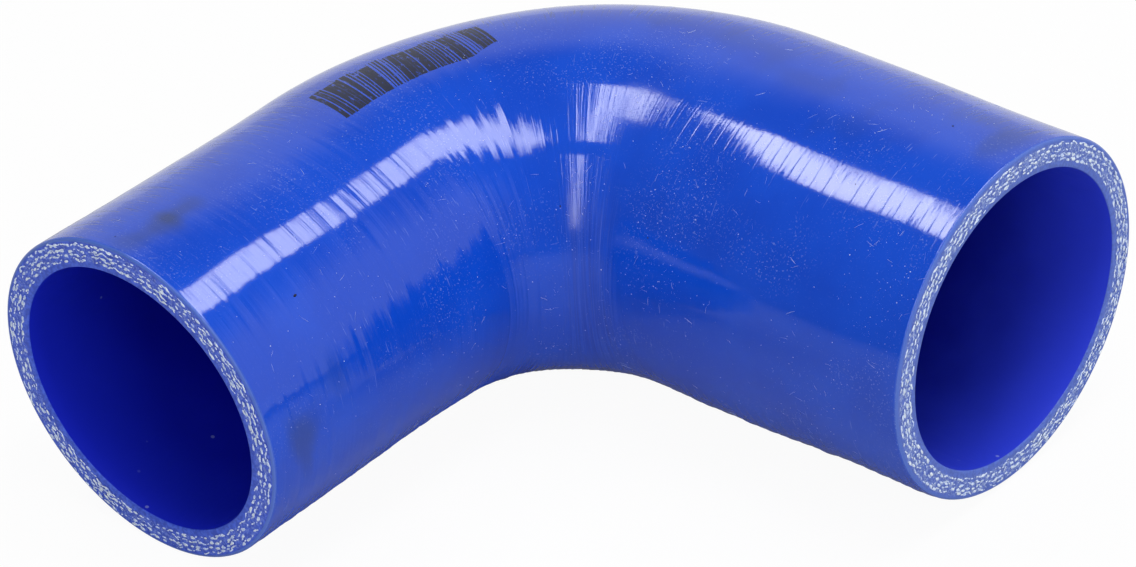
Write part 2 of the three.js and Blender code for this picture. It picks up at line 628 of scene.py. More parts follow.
def mark_wall():
    angle = np.broadcast_to(ANGLES[None, :], WALL_AT.shape)
    inner = bore_radius(WALL_AT) + settled(WALL_AT, angle)
    outer = outer_radius(WALL_AT) + settled(WALL_AT, angle)
    keep_on_points(wall_mesh, "wall_share", (WALL_RADIUS - inner) / (outer - inner))
    keep_on_points(wall_mesh, "soil", soil_field(WALL_AT, angle, WALL_RADIUS))
    rows = np.arange(len(WALL_AT))[:, None]
    on_cover = (rows >= LINT_CLEAR_RINGS) & (rows < len(RINGS) - LINT_CLEAR_RINGS)
    keep_on_points(wall_mesh, "lint", lint_field(WALL_AT, angle) * on_cover)


mark_wall()
print("numbers kept at points:", [a.name for a in wall_mesh.attributes if a.domain == "POINT"])

# %% [markdown]
# The finishes are node trees, and a tree is easier to read when its sums are written as calls.
# These few helpers add a node, feed it with numbers or with other nodes, and hand back its
# result. Lengths in the trees are in millimetres along the hose and turns around it, taken
# from the unrolled map. Cosine and sine of the angle stand in for the angle itself in every
# pattern, because they close up without a seam.

# %% Helpers for node trees
def feed(tree, socket, value):
    """Gives a socket a number, a colour or a finish, or links the result of another node."""
    if isinstance(value, bpy.types.Node):
        value = value.outputs[0]
    if isinstance(value, bpy.types.NodeSocket):
        tree.links.new(value, socket)
    else:
        socket.default_value = (*value, 1) if socket.type == "RGBA" else value


def feed_all(tree, node, values):
    for name, value in values.items():
        feed(tree, node.inputs[name], value)


def add_node(tree, kind, *values, inputs=None, **settings):
    """A node with its settings, fed in the order of its sockets or by their names."""
    node = tree.nodes.new(kind)
    for name, setting in settings.items():
        setattr(node, name, setting)
    for socket, value in zip(node.inputs, values):
        feed(tree, socket, value)
    feed_all(tree, node, inputs or {})
    return node


def maths(tree, operation, *values):
    return add_node(tree, "ShaderNodeMath", *values, operation=operation).outputs[0]


def times(tree, value, *factors):
    for factor in factors:
        value = maths(tree, "MULTIPLY", value, factor)
    return value


def summed(tree, start, *terms):
    """A start value with terms added to it, each of them a value and its factor."""
    for value, factor in terms:
        start = maths(tree, "ADD", start, times(tree, value, factor))
    return start


def eased(tree, value, low, high):
    """0 below low, 1 above high and smooth between them. Low may be the larger."""
    node = add_node(tree, "ShaderNodeMapRange", value, low, high, interpolation_type="SMOOTHSTEP")
    return node.outputs[0]


def between(tree, value, rise, fall):
    """1 between two slopes, each of them given by where it is 0 and where it is 1."""
    return times(tree, eased(tree, value, *rise), eased(tree, value, *fall))


def within(tree, value, low, high):
    above = maths(tree, "GREATER_THAN", value, low)
    return times(tree, above, maths(tree, "LESS_THAN", value, high))


# %% Helpers for colours and patterns
def blended(tree, share, first, second):
    node = add_node(tree, "ShaderNodeMix", data_type="RGBA")
    feed(tree, node.inputs[0], share)
    feed(tree, node.inputs[6], first)
    feed(tree, node.inputs[7], second)
    return node.outputs[2]


def layered(tree, under, *layers):
    """A colour with others laid over it, each of them a mask, its strength and a colour."""
    for mask, strength, colour in layers:
        under = blended(tree, times(tree, mask, strength), under, colour)
    return under


def grain(tree, place, scale, detail, rough=0.5):
    node = add_node(tree, "ShaderNodeTexNoise", inputs={
        "Vector": place, "Scale": scale, "Detail": detail, "Roughness": rough,
    })
    return node.outputs[0]


def patches(tree, place, scale, detail, rough, low, high):
    """Soft-edged patches where a grain rises from low to high."""
    return eased(tree, grain(tree, place, scale, detail, rough), low, high)


def bumped(tree, height, depth_mm, before=None):
    node = add_node(tree, "ShaderNodeBump", inputs={"Distance": depth_mm * MM, "Height": height})
    if before is not None:
        feed(tree, node.inputs["Normal"], before)
    return node.outputs[0]


def new_finish(name, colour, roughness):
    material = bpy.data.materials.new(name)
    material.use_nodes = True
    shader = material.node_tree.nodes["Principled BSDF"]
    feed_all(material.node_tree, shader, {"Base Color": colour, "Roughness": roughness})
    return material, material.node_tree, shader


# %% Helpers for a place on the hose
def object_place(tree):
    return add_node(tree, "ShaderNodeTexCoord").outputs["Object"]


def kept_number(tree, name):
    return add_node(tree, "ShaderNodeAttribute", attribute_name=name).outputs["Fac"]


def hose_place(tree):
    """The length along the hose in mm and the angle round it in radians."""
    unrolled = add_node(tree, "ShaderNodeUVMap", uv_map="unrolled")
    split = add_node(tree, "ShaderNodeSeparateXYZ", unrolled)
    length = times(tree, split.outputs[1], LENGTH / MM)
    return length, times(tree, split.outputs[0], 2 * math.pi)


def ring_grain(tree, here, per_turn, per_mm, detail, rough):
    """A grain for marks that run round the hose: long around it and short along it."""
    length, angle = here
    across = times(tree, maths(tree, "COSINE", angle), per_turn)
    up = times(tree, maths(tree, "SINE", angle), per_turn)
    place = add_node(tree, "ShaderNodeCombineXYZ", across, up, times(tree, length, per_mm))
    return grain(tree, place, 1.0, detail, rough)


def ring_marks(tree, here, per_turn, per_mm, detail, rough, low, high):
    return eased(tree, ring_grain(tree, here, per_turn, per_mm, detail, rough), low, high)


def to_nearer_end(tree, length):
    return maths(tree, "MINIMUM", length, maths(tree, "SUBTRACT", LENGTH / MM, length))


# %% [markdown]
# The back of the bend carries a block of worn ink: plain bars of chance widths, which say
# nothing. It could be an image, but bars that follow a rule need none. The length along the
# hose is cut into cells, a hash of the cell's number gives the width of its bar, and a hash of
# its group decides how dense the bars stand. The block leans and rises a little at one end.

# %% Block of worn ink
INK_FROM_MM, INK_TO_MM = 104.2, 139.6
INK_LOW, INK_HIGH = math.radians(86), math.radians(109)
INK_LIFT = math.radians(6)
INK_LIFT_MM = (112, 103)
INK_LEAN_MM = 2.4
INK_LEAN_TURNS_MM = (108, 126)
INK_CELL_MM = 0.70
INK_GROUP_MM = 2.9
INK_DENSE_GROUPS = 0.62
INK_WIDTH_LEAST = 0.28
INK_WIDTH_SPREAD = 0.46
INK_WIDTH_DENSE = 0.24
INK_SOLID = 0.36
INK_LOW_UNEVEN, INK_HIGH_UNEVEN = 0.006, -0.06
INK_WEAR = (14, 1.6, 4, 0.65, 0.30, 0.42)


def hashed(tree, number, shift=0.0):
    """A chance value between 0 and 1 that belongs to a number. A shift gives another one."""
    node = add_node(tree, "ShaderNodeTexWhiteNoise", noise_dimensions="1D")
    feed(tree, node.inputs["W"], maths(tree, "ADD", number, shift))
    return node.outputs[0]


def ink_mask(tree, here):
    """1 where a bar of the block is inked. Each bar leaves a gap in its cell."""
    length, angle = here
    up = times(tree, maths(tree, "SUBTRACT", angle, INK_LOW), 1 / (INK_HIGH - INK_LOW))
    leaning = eased(tree, length, *INK_LEAN_TURNS_MM)
    lean = summed(tree, INK_LEAN_MM, (leaning, -2 * INK_LEAN_MM))
    length = summed(tree, length, (times(tree, up, lean), -1))
    cell = maths(tree, "DIVIDE", length, INK_CELL_MM)
    number = maths(tree, "FLOOR", cell)
    group = maths(tree, "FLOOR", maths(tree, "DIVIDE", length, INK_GROUP_MM))
    dense = maths(tree, "LESS_THAN", hashed(tree, group), INK_DENSE_GROUPS)
    width = summed(tree, INK_WIDTH_LEAST, (dense, INK_WIDTH_DENSE))
    width = summed(tree, width, (hashed(tree, number), INK_WIDTH_SPREAD))
    bar = maths(tree, "LESS_THAN", maths(tree, "FRACT", cell), width)
    solid = maths(tree, "LESS_THAN", hashed(tree, number, 0.71), times(tree, dense, INK_SOLID))
    inked = maths(tree, "MAXIMUM", solid, bar)
    low = summed(tree, INK_LOW, (hashed(tree, number, 0.37), INK_LOW_UNEVEN))
    low = summed(tree, low, (eased(tree, length, *INK_LIFT_MM), INK_LIFT))
    high = summed(tree, INK_HIGH, (hashed(tree, group, 0.5), INK_HIGH_UNEVEN))
    across = within(tree, length, INK_FROM_MM, INK_TO_MM)
    kept = ring_marks(tree, (length, angle), *INK_WEAR)
    return times(tree, inked, across, within(tree, angle, low, high), kept)


# %% [markdown]
# The cover is glossy pigmented silicone. Its blue is deep and even, with a slight cloudiness
# from the pigment. Over it lie the marks of use and making: a haze of dust, scratches where it
# was handled, fine ticks round the back, a rubbed patch without much gloss and dark thumb marks.
# Pale lines and darker ones in the inside of the bend are painted glints and painted shade, where
# its creases catch light or lie in shade. A pale band along each cut edge is painted sheen, where
# the rounded edge catches light, and the cover is rougher there. The tape also left fine lines
# round the hose, far finer than its turns, which soften every reflection in one direction only.
# They are too small for the mesh, so they are a bump.

# %% Colours and marks of the cover
COVER_BLUE = (0.004, 0.072, 0.615)
COVER_DEEP = (0.003, 0.060, 0.555)
CREASE_SHADE_BLUE = (0.002, 0.034, 0.38)
# pale blue of dust and scratches, also used for painted glints
DUST_SCRATCH_AND_GLINT_BLUE = (0.26, 0.36, 0.80)
SOIL_GREY = (0.022, 0.045, 0.15)
# painted sheen on the rounded cut edge
EDGE_PAINTED_SHEEN = (0.11, 0.21, 0.62)
INK = (0.016, 0.017, 0.012)
# patches: scale per metre, detail, roughness, and the values of the grain from which and up
# to which they appear
CLOUDS = (60, 3, 0.5, 0.35, 0.68)
DUST = (2600, 3, 0.6, 0.58, 0.70)
DUSTY = (50, 3, 0.5, 0.46, 0.66)
DUST_EVERYWHERE = 0.10
HANDLED = (38, 2, 0.5, 0.42, 0.60)
# marks round the hose: scale per turn and per mm, detail, roughness, and the same two values
SCRATCHES = (7, 3.2, 2, 0.6, 0.66, 0.76)
# painted glints and painted shade, in lines on the creases inside the bend
PAINTED_GLINTS = (2.6, 2.4, 3, 0.6, 0.50, 0.72)
CREASE_SHADE_LINES = (1.8, 0.9, 4, 0.6, 0.40, 0.62)
TICKS = (5, 2.6, 2, 0.6, 0.56, 0.68)
# slopes in mm along the hose, or in the cosine of the angle from the inside of the bend
BEND_RISE, BEND_FALL = (64, 76), (104, 92)
INSIDE_OF_BEND = (0.78, 0.95)
BACK_OF_HOSE = (-0.08, -0.32)
RUBBED_RISE, RUBBED_FALL = (62, 68), (81, 75)
# where the cover rounds into a cut face: rougher, with painted sheen
CUT_EDGE = (0.60, 0.15)


def cover_marks(tree, here, place):
    """A mask for each kind of mark on the cover, painted glints, shade and sheen among them."""
    length, angle = here
    inward = maths(tree, "COSINE", angle)
    dusty = summed(tree, DUST_EVERYWHERE, (patches(tree, place, *DUSTY), 1))
    handled = patches(tree, place, *HANDLED)
    inner_bend = between(tree, length, BEND_RISE, BEND_FALL)
    inner_bend = times(tree, inner_bend, eased(tree, inward, *INSIDE_OF_BEND))
    on_back = eased(tree, inward, *BACK_OF_HOSE)
    return {
        "inward": inward,
        "haze": times(tree, patches(tree, place, *DUST), dusty),
        "scratches": times(tree, ring_marks(tree, here, *SCRATCHES), handled),
        "inner_bend": inner_bend,
        # painted glints and painted shade on the creases inside the bend
        "painted_glints": times(tree, ring_marks(tree, here, *PAINTED_GLINTS), inner_bend),
        "crease_shade": times(tree, ring_marks(tree, here, *CREASE_SHADE_LINES), inner_bend),
        "ticks": times(tree, ring_marks(tree, here, *TICKS), on_back),
        # rougher cut edge, which also carries painted sheen
        "rough_edge_and_sheen": eased(tree, to_nearer_end(tree, length), *CUT_EDGE),
        "rubbed": between(tree, length, RUBBED_RISE, RUBBED_FALL),
        "soil": kept_number(tree, "soil"),
        "ink": ink_mask(tree, here),
    }


# %% Relief of the cover that is too fine for the mesh
LINES = (1.6, 2.1, 3, 0.55)
LINE_DEPTH_MM = 0.010
TICK_SHARE = 2.4
PEEL_SCALE = 420
PEEL_DEPTH_MM = 0.005
LINED_LARGE_LEG = 1.15
# each of these is a length in mm, the length where the change is complete, and the change
LINED_CHANGES = ((59, 66, 1.6), (76, 84, -1.1), (100, 116, 1.6))
OFF_THE_INSIDE = (0.46, 0.20)
LINED_OFF_THE_INSIDE = -0.50


def cover_normal(tree, here, place, marks):
    """Lines round the hose, strongest past the bend, with ticks and a faint orange peel."""
    lined = LINED_LARGE_LEG
    for start, end, change in LINED_CHANGES:
        lined = summed(tree, lined, (eased(tree, here[0], start, end), change))
    off_inside = eased(tree, marks["inward"], *OFF_THE_INSIDE)
    lined = times(tree, lined, summed(tree, 1.0, (off_inside, LINED_OFF_THE_INSIDE)))
    lines = times(tree, ring_grain(tree, here, *LINES), lined)
    lines = summed(tree, lines, (marks["ticks"], -TICK_SHARE))
    normal = bumped(tree, lines, LINE_DEPTH_MM)
    return bumped(tree, grain(tree, place, PEEL_SCALE, 2), PEEL_DEPTH_MM, normal)


# %% Finish of the cover
GLOSS, GLOSS_LOST_TO_INK = 0.80, -0.5
WIPE_SCALE = 35
COVER_ROUGH = 0.050


def cover_finish():
    material, tree, shader = new_finish("cover_silicone", COVER_BLUE, COVER_ROUGH)
    here, place = hose_place(tree), object_place(tree)
    marks = cover_marks(tree, here, place)
    blue = layered(
        tree,
        blended(tree, patches(tree, place, *CLOUDS), COVER_DEEP, COVER_BLUE),
        (marks["haze"], 0.42, DUST_SCRATCH_AND_GLINT_BLUE),
        # painted glints on the creases inside the bend
        (marks["painted_glints"], 0.16, DUST_SCRATCH_AND_GLINT_BLUE),
        # painted shade in the creases inside the bend
        (marks["crease_shade"], 0.45, CREASE_SHADE_BLUE),
        (marks["ticks"], 0.50, SOIL_GREY),
        (marks["scratches"], 0.55, DUST_SCRATCH_AND_GLINT_BLUE),
        # painted sheen on the rounded cut edge
        (marks["rough_edge_and_sheen"], 0.62, EDGE_PAINTED_SHEEN),
        (marks["soil"], 1.0, SOIL_GREY),
        (marks["ink"], 0.93, INK),
    )
    rough = summed(
        tree,
        COVER_ROUGH,
        (grain(tree, place, WIPE_SCALE, 3), 0.045),
        (marks["haze"], 0.10),
        (maths(tree, "MAXIMUM", marks["ink"], marks["soil"]), 0.25),
        (marks["rough_edge_and_sheen"], 0.25),
        (marks["rubbed"], 0.06),
        (marks["inner_bend"], 0.10),
    )
    feed_all(tree, shader, {
        "Base Color": blue,
        "Roughness": rough,
        "Specular IOR Level": summed(tree, GLOSS, (marks["ink"], GLOSS_LOST_TO_INK)),
        "Normal": cover_normal(tree, here, place, marks),
    })
    return material


COVER_FINISH = cover_finish()
print("cover finish has", len(COVER_FINISH.node_tree.nodes), "nodes")

# %% [markdown]
# The knife leaves the cut faces matt. Between the liner and the cover, the silicone is full of
# cut fibre, which greys the blue in a band. The large face is painted paler than the small one:
# a grey veil over all of it is painted sheen from the light on its side, and its band has more
# frost, partly denser fibre and partly painted sheen. The thread ends themselves come later as
# small solids.

# %% Finish of the cut faces
CUT_BLUE = (0.070, 0.152, 0.80)
CUT_SHADE = (0.035, 0.084, 0.59)
LARGE_FACE_SHEEN_GREY = (0.15, 0.23, 0.46)
LARGE_FACE_SHEEN = 0.40
CUT_MOTTLE = (1300, 3, 0.6, 0.35, 0.65)
FIBRE_GREY = (0.50, 0.60, 0.76)
FIBRES = (2600, 3, 0.6, 0.46, 0.66)
# on the large face the fibre band has more frost, partly painted sheen
FROST, FROST_AND_SHEEN_AT_LARGE = 0.32, 0.36
PLIES_FROM, PLIES_TO = 0.23, 0.82
PLIES_RISE = (PLIES_FROM - 0.05, PLIES_FROM + 0.03)
PLIES_FALL = (PLIES_TO + 0.04, PLIES_TO - 0.03)
SAW_SCALE = 1800
HALF_WAY_MM = LENGTH / MM / 2


def cut_finish():
    material, tree, shader = new_finish("cut_face", CUT_BLUE, 0.5)
    place = object_place(tree)
    at_large = maths(tree, "LESS_THAN", hose_place(tree)[0], HALF_WAY_MM)
    band = between(tree, kept_number(tree, "wall_share"), PLIES_RISE, PLIES_FALL)
    fibres = times(tree, band, patches(tree, place, *FIBRES))
    frost = summed(tree, FROST, (at_large, FROST_AND_SHEEN_AT_LARGE))
    blue = layered(
        tree,
        blended(tree, patches(tree, place, *CUT_MOTTLE), CUT_SHADE, CUT_BLUE),
        # painted sheen: a grey veil over the whole large face
        (at_large, LARGE_FACE_SHEEN, LARGE_FACE_SHEEN_GREY),
        (fibres, frost, FIBRE_GREY),
    )
    saw = grain(tree, place, SAW_SCALE, 3, 0.6)
    feed_all(tree, shader, {
        "Base Color": blue,
        "Roughness": summed(tree, 0.38, (saw, 0.2)),
        "Normal": bumped(tree, saw, 0.05),
    })
    return material


CUT_FINISH = cut_finish()
print("cut face finish has", len(CUT_FINISH.node_tree.nodes), "nodes")

# %% [markdown]
# The bore is satin, because it was cast against a polished mandrel with a release wax. Light
# reaches only its mouth, and so its blue is made to darken inwards, less in the smaller end,
# which looks more even. A few specks of dust lie on it.

# %% Finish of the bore
BORE_BLUE = (0.030, 0.056, 0.72)
BORE_DEEP = (0.0005, 0.001, 0.28)
BORE_SMALL_BLUE = (0.010, 0.022, 0.60)
BORE_SMALL_DEEP = (0.001, 0.003, 0.44)
BORE_DUST = (0.30, 0.36, 0.75)
BORE_DARKENS_MM = (4, 44)
BORE_CLOUD_SCALE, BORE_CLOUD_MM = 70, 16
BORE_GLOSS = 0.20
BORE_SPECK_SCALE, BORE_SPECK_SIZE = 170, (0.075, 0.045)
BORE_DUSTY = (90, 1, 0.5, 0.45, 0.6)
BORE_DRAWN = (9, 0.12, 3, 0.5)


def bore_finish():
    material, tree, shader = new_finish("bore_silicone", BORE_BLUE, 0.36)
    here, place = hose_place(tree), object_place(tree)
    at_small = maths(tree, "GREATER_THAN", here[0], HALF_WAY_MM)
    cloud = maths(tree, "SUBTRACT", grain(tree, place, BORE_CLOUD_SCALE, 3), 0.5)
    inwards = summed(tree, to_nearer_end(tree, here[0]), (cloud, BORE_CLOUD_MM))
    near_blue = blended(tree, at_small, BORE_BLUE, BORE_SMALL_BLUE)
    deep_blue = blended(tree, at_small, BORE_DEEP, BORE_SMALL_DEEP)
    blue = blended(tree, eased(tree, inwards, *BORE_DARKENS_MM), near_blue, deep_blue)
    cells = add_node(tree, "ShaderNodeTexVoronoi", inputs={
        "Vector": place, "Scale": BORE_SPECK_SCALE,
    })
    specks = eased(tree, cells.outputs["Distance"], *BORE_SPECK_SIZE)
    dust = times(tree, specks, patches(tree, place, *BORE_DUSTY))
    drawn = ring_grain(tree, here, *BORE_DRAWN)
    feed_all(tree, shader, {
        "Base Color": layered(tree, blue, (dust, 0.6, BORE_DUST)),
        "Roughness": summed(tree, 0.30, (drawn, 0.14)),
        "Specular IOR Level": BORE_GLOSS,
        "Normal": bumped(tree, drawn, 0.05),
    })
    return material


BORE_FINISH = bore_finish()
for finish in (COVER_FINISH, CUT_FINISH, BORE_FINISH):
    wall_mesh.materials.append(finish)
print("wall finishes:", [m.name for m in wall_mesh.materials])

# %% [markdown]
# The reinforcement shows only where the knife crossed it. Four plies of woven polyester lie in
# the wall. The yarns that run along the hose show as white ovals in four rings, and the yarn
# that weaves between them shows as broken strokes that wander round them. Both repeat along a
# path, so Geometry Nodes make them: loops of points go in, and small rounded grains come out,
# turned to the loop, jittered, and with some left out where the knife tore the yarn away.

# %% Loops for the plies to follow
PLIES = 4
PLY_INSET = 0.035
YARN_PITCH = 1.75 * MM
LOOP_POINTS = 720
LOOP_ANGLES = np.arange(LOOP_POINTS) * 2 * math.pi / LOOP_POINTS
PROUD = 0.03 * MM
WEAVE_SWING = 0.048


def straight_share(ply, at_large):
    """How far out in the wall a ply lies round the loop. It wanders a little."""
    spread = PLIES_TO - PLIES_FROM - 2 * PLY_INSET
    middle = PLIES_FROM + PLY_INSET + spread * ply / (PLIES - 1)
    slow = 0.010 * np.cos(3 * LOOP_ANGLES + 2 * ply)
    return middle + slow + 0.008 * np.cos(7 * LOOP_ANGLES + ply)


def woven_share(ply, at_large):
    """The crossing yarn swings from one side of the yarn ends to the other."""
    girth = 2 * math.pi * (bore_radius(0.0 if at_large else LENGTH) + 0.5 * WALL)
    swings = round(girth / YARN_PITCH / 2)
    return straight_share(ply, at_large) + WEAVE_SWING * np.sin(swings * LOOP_ANGLES + ply)


def loop_points(at_large, share):
    """Points of a loop on a cut face. Share may change round the loop."""
    at = 0.0 if at_large else LENGTH
    outward = -PROUD if at_large else PROUD
    inner = bore_radius(at) + settled(at, LOOP_ANGLES)
    radius = inner + (outer_radius(at) - bore_radius(at)) * share
    return hose_points(at + outward, LOOP_ANGLES, radius)


def face_direction(at_large):
    """The way a cut face looks, from two points on one line along the hose."""
    at, step = (0.0, -MM) if at_large else (LENGTH, MM)
    outward = hose_points(at + step, 0.0, BORE_SMALL) - hose_points(at, 0.0, BORE_SMALL)
    return outward / np.linalg.norm(outward)


def loops_mesh(name, share_of):
    """One closed loop for each ply and face, each point knowing which way its face looks."""
    points, edges, facing = [], [], []
    for at_large in (True, False):
        for ply in range(PLIES):
            start = len(points)
            points += loop_points(at_large, share_of(ply, at_large)).tolist()
            edges += [(start + k, start + (k + 1) % LOOP_POINTS) for k in range(LOOP_POINTS)]
            facing += [face_direction(at_large)] * LOOP_POINTS
    mesh = bpy.data.meshes.new(name)
    mesh.from_pydata(points, edges, [])
    layer = mesh.attributes.new("facing", "FLOAT_VECTOR", "POINT")
    layer.data.foreach_set("vector", np.array(facing, dtype=np.float32).reshape(-1))
    return mesh


yarn_loops = loops_mesh("yarn_loops", straight_share)
weft_loops = loops_mesh("weft_loops", woven_share)
print(len(yarn_loops.vertices), "points on", 2 * PLIES, "yarn loops")


# %% Helpers for geometry trees
def new_geometry_tree(name, kinds):
    """A tree with named inputs, which are given as a name and a kind of socket for each."""
    tree = bpy.data.node_groups.new(name, "GeometryNodeTree")
    for in_out in ("INPUT", "OUTPUT"):
        tree.interface.new_socket("Geometry", in_out=in_out, socket_type="NodeSocketGeometry")
    for socket_name, kind in kinds.items():
        tree.interface.new_socket(socket_name, in_out="INPUT", socket_type="NodeSocket" + kind)
    return tree, add_node(tree, "NodeGroupInput").outputs, add_node(tree, "NodeGroupOutput")


def chance(tree, low, high, seed, shift, kind="FLOAT"):
    """A random number or vector for each point."""
    node = add_node(tree, "FunctionNodeRandomValue", data_type=kind)
    first, result = (0, 0) if kind == "FLOAT_VECTOR" else (2, 1)
    feed(tree, node.inputs[first], low)
    feed(tree, node.inputs[first + 1], high)
    feed(tree, node.inputs["Seed"], maths(tree, "ADD", seed, shift))
    return node.outputs[result]


def vector_sum(tree, operation, *values):
    return add_node(tree, "ShaderNodeVectorMath", *values, operation=operation).outputs[0]


def scaled(tree, vector, factor):
    node = add_node(tree, "ShaderNodeVectorMath", vector, operation="SCALE")
    feed(tree, node.inputs["Scale"], factor)
    return node.outputs[0]


def set_out(tree, spots, shape, rotation, scale, material, leave):
    """Puts a shape on every spot, as real mesh with a smooth look and its own finish."""
    placed = add_node(tree, "GeometryNodeInstanceOnPoints", spots, inputs={
        "Instance": shape, "Rotation": rotation, "Scale": scale,
    })
    real = add_node(tree, "GeometryNodeRealizeInstances", placed)
    smooth = add_node(tree, "GeometryNodeSetShadeSmooth", real)
    dressed = add_node(tree, "GeometryNodeSetMaterial", smooth, inputs={"Material": material})
    feed(tree, leave.inputs[0], dressed)


# %% The tree that sows grains along loops
GRAIN_SEGMENTS = 7
GRAIN_RINGS = 4
GRAIN_GROWTH = (0.34, 0.62)
CLUSTERS_PER_M = 330
TORN_CHANGE = 2.2
DRIFT_SHARE = 9.0


def grains_on_loops():
    tree, given, leave = new_geometry_tree("grains_on_loops", {
        "Spacing": "Float", "Length": "Float", "Width": "Float", "Height": "Float",
        "Jitter": "Float", "Missing": "Float", "Seed": "Int", "Material": "Material",
    })
    curve = add_node(tree, "GeometryNodeMeshToCurve", given["Geometry"])
    spots = add_node(tree, "GeometryNodeCurveToPoints", curve, mode="LENGTH")
    feed(tree, spots.inputs["Length"], given["Spacing"])
    drift = add_node(tree, "ShaderNodeTexNoise", inputs={
        "Vector": add_node(tree, "GeometryNodeInputPosition"), "Scale": CLUSTERS_PER_M,
    })
    clustered = maths(tree, "SUBTRACT", drift.outputs[0], 0.5)
    torn = summed(tree, given["Missing"], (clustered, TORN_CHANGE))
    lost = maths(tree, "LESS_THAN", chance(tree, 0.0, 1.0, given["Seed"], 1), torn)
    left = add_node(tree, "GeometryNodeDeleteGeometry", spots, lost, domain="POINT")
    jitter = chance(tree, (-1, -1, -1), (1, 1, 1), given["Seed"], 2, "FLOAT_VECTOR")
    pulled = vector_sum(tree, "SUBTRACT", drift.outputs["Color"], (0.5, 0.5, 0.5))
    swayed = vector_sum(tree, "ADD", jitter, scaled(tree, pulled, DRIFT_SHARE))
    moved = add_node(tree, "GeometryNodeSetPosition", left, inputs={
        "Offset": scaled(tree, swayed, given["Jitter"]),
    })
    facing = add_node(tree, "GeometryNodeInputNamedAttribute", "facing", data_type="FLOAT_VECTOR")
    along = add_node(tree, "FunctionNodeAlignRotationToVector", axis="Z", inputs={
        "Vector": spots.outputs["Tangent"],
    })
    turned = add_node(tree, "FunctionNodeAlignRotationToVector", axis="X", pivot_axis="Z", inputs={
        "Rotation": along, "Vector": facing,
    })
    size = add_node(tree, "ShaderNodeCombineXYZ", given["Height"], given["Width"], given["Length"])
    size = scaled(tree, size, chance(tree, *GRAIN_GROWTH, given["Seed"], 3))
    shape = add_node(tree, "GeometryNodeMeshUVSphere", GRAIN_SEGMENTS, GRAIN_RINGS, 1.0)
    set_out(tree, moved, shape, turned, size, given["Material"], leave)
    return tree


GRAINS_ON_LOOPS = grains_on_loops()
print("the grain tree has", len(GRAINS_ON_LOOPS.nodes), "nodes")


# %% Growing a piece from a tree
def grow(name, mesh, tree, values):
    """The plain mesh that a tree makes from a base mesh, as an object of its own."""
    carrier = put_in_scene(name + "_base", mesh)
    modifier = carrier.modifiers.new("grow", "NODES")
    modifier.node_group = tree
    for socket in tree.interface.items_tree:
        if socket.name in values:
            modifier[socket.identifier] = values[socket.name]
    bpy.context.view_layer.update()
    graph = bpy.context.evaluated_depsgraph_get()
    grown = bpy.data.meshes.new_from_object(carrier.evaluated_get(graph), depsgraph=graph)
    carrier.modifiers.remove(modifier)
    bpy.data.objects.remove(carrier)
    grown.name = name
    print(name, "has", sum(len(p.vertices) - 2 for p in grown.polygons), "triangles")
    return put_in_scene(name, grown)


# %% Finish of the yarn
YARN_WHITE = (0.84, 0.92, 0.99)
YARN_BLUISH = (0.50, 0.63, 0.95)
YARN_SHADES = (1500, 2, 0.5, 0.3, 0.65)
FUZZ_SCALE = 6000


def yarn_finish():
    material, tree, shader = new_finish("polyester_yarn", YARN_WHITE, 0.6)
    place = object_place(tree)
    shade = patches(tree, place, *YARN_SHADES)
    feed_all(tree, shader, {
        "Base Color": blended(tree, shade, YARN_BLUISH, YARN_WHITE),
        "Roughness": summed(tree, 0.45, (grain(tree, place, FUZZ_SCALE, 2), 0.3)),
    })
    return material


YARN_FINISH = yarn_finish()
print("yarn finish has", len(YARN_FINISH.node_tree.nodes), "nodes")

# %% Yarn ends and the yarn that crosses them
yarn_ends = grow("yarn_ends", yarn_loops, GRAINS_ON_LOOPS, {
    "Spacing": YARN_PITCH, "Length": 1.05 * MM, "Width": 0.48 * MM, "Height": 0.20 * MM,
    "Jitter": 0.14 * MM, "Missing": 0.04, "Seed": 7, "Material": YARN_FINISH,
})
crossing_yarn = grow("crossing_yarn", weft_loops, GRAINS_ON_LOOPS, {
    "Spacing": 0.44 * MM, "Length": 0.67 * MM, "Width": 0.27 * MM, "Height": 0.20 * MM,
    "Jitter": 0.10 * MM, "Missing": 0.41, "Seed": 19, "Material": YARN_FINISH,
})

# %% [markdown]
# Silicone draws lint. Pale specks and short fibres cling all over the cover, thickest on the
# large leg and in the bend, and a few dark crumbs lie among them. They are strewn by one more
# tree: it scatters points over the wall by the lint number kept there, lays a flat shape on
# each, and turns and sizes it by chance. The shape is an input, so that specks, fibres and
# crumbs all use it.

# %% The tree that strews lint
LINT_WIDTH = (0.45, 1.0)


